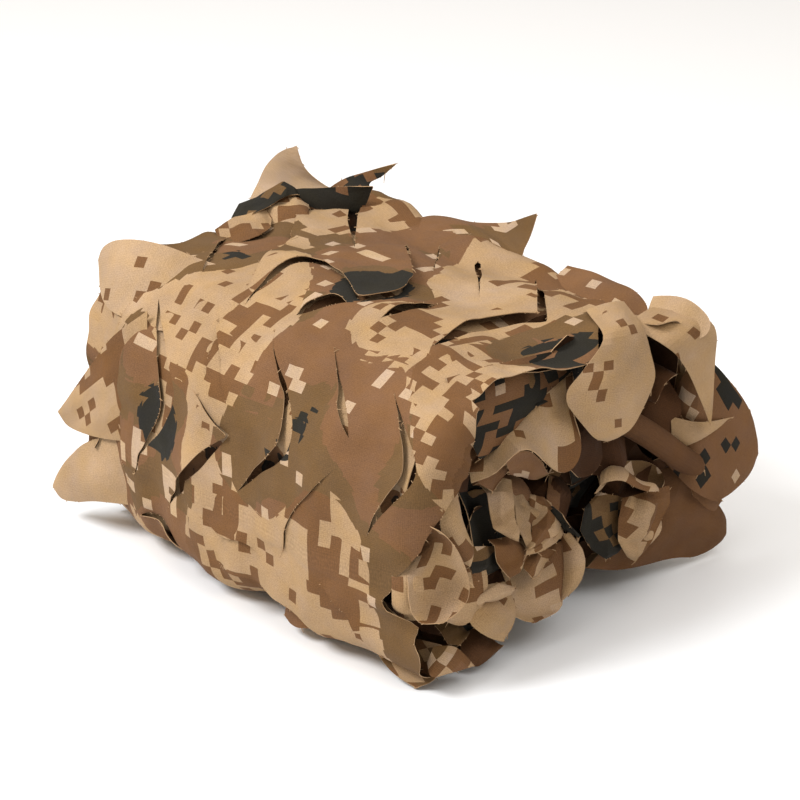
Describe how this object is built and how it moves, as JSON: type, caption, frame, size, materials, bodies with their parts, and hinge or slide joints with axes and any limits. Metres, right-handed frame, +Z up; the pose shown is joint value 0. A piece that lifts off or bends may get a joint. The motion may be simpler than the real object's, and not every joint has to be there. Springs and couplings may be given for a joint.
{
  "type": "folded camouflage netting",
  "caption": "Incised camouflage netting folded and wound into a two-lobed bundle, with cut leaf tabs lifting off its outer turn and crumpled layers showing at both ends.",
  "frame": {"origin": "centre of the bundle's footprint, on the surface that it rests on", "axes": "+X along the bundle towards its open, crumpled near end, -Y is its long front side, +Z up"},
  "size_m": [0.3858, 0.3466, 0.2439],
  "materials": {
    "printed_cloth": "matt printed polyester, tan ground with brown and charcoal squares"
  },
  "bodies": {
    "root": {"camouflage_net": "printed_cloth"}
  },
  "joints": []
}
